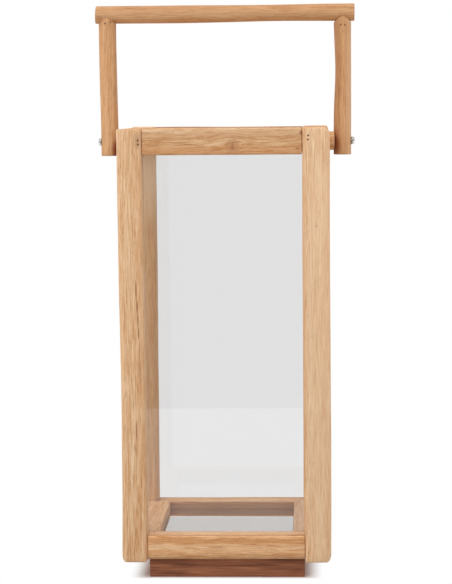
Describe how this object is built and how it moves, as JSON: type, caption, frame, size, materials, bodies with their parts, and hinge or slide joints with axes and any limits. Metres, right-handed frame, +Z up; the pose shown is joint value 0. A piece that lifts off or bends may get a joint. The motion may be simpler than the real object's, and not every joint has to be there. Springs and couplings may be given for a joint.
{
  "type": "hanging lantern",
  "caption": "Square glazed lantern of natural teak with round-edged posts, an open top, a mirrored floor on a dark recessed plinth, and a swinging bail handle on two pivot screws.",
  "frame": {"origin": "on the ground under the middle of the lantern", "axes": "+Z up, +X along the handle bar to the viewer's right, +Y to the rear"},
  "size_m": [0.2668, 0.21, 0.576],
  "materials": {
    "teak_post": "bare sanded teak, upright grain",
    "teak_rail": "bare sanded teak, grain along the rail",
    "teak_handle": "bare sanded teak, grain along the rod",
    "plinth_wood": "dark oiled hardwood",
    "floor_ply": "unfinished plywood",
    "clear_glass": "clear float glass",
    "mirror_plate": "silvered glass",
    "screw_steel": "zinc-plated steel",
    "brad_steel": "darkened steel"
  },
  "bodies": {
    "frame": {"post_front_left": "teak_post", "post_front_right": "teak_post", "post_rear_left": "teak_post", "post_rear_right": "teak_post", "top_rail_front": "teak_rail", "top_rail_right": "teak_rail", "top_rail_rear": "teak_rail", "top_rail_left": "teak_rail", "bottom_rail_front": "teak_rail", "bottom_rail_right": "teak_rail", "bottom_rail_rear": "teak_rail", "bottom_rail_left": "teak_rail", "pane_front": "clear_glass", "pane_right": "clear_glass", "pane_rear": "clear_glass", "pane_left": "clear_glass", "base_board": "floor_ply", "base_mirror": "mirror_plate", "plinth_front": "plinth_wood", "plinth_right": "plinth_wood", "plinth_rear": "plinth_wood", "plinth_left": "plinth_wood", "plinth_screws": "screw_steel", "joint_brads": "brad_steel", "spacer_left": "teak_handle", "spacer_right": "teak_handle", "pivot_screw_left": "screw_steel", "pivot_screw_right": "screw_steel"},
    "handle": {"handle_bar": "teak_handle", "handle_upright_left": "teak_handle", "handle_upright_right": "teak_handle", "handle_brads": "brad_steel"}
  },
  "joints": [
    {"name": "handle_swing", "type": "hinge", "parent": "frame", "child": "handle", "pos_m": [0, 0, 0.4359], "axis": [1, 0, 0], "range_deg": [-115, 115]}
  ]
}
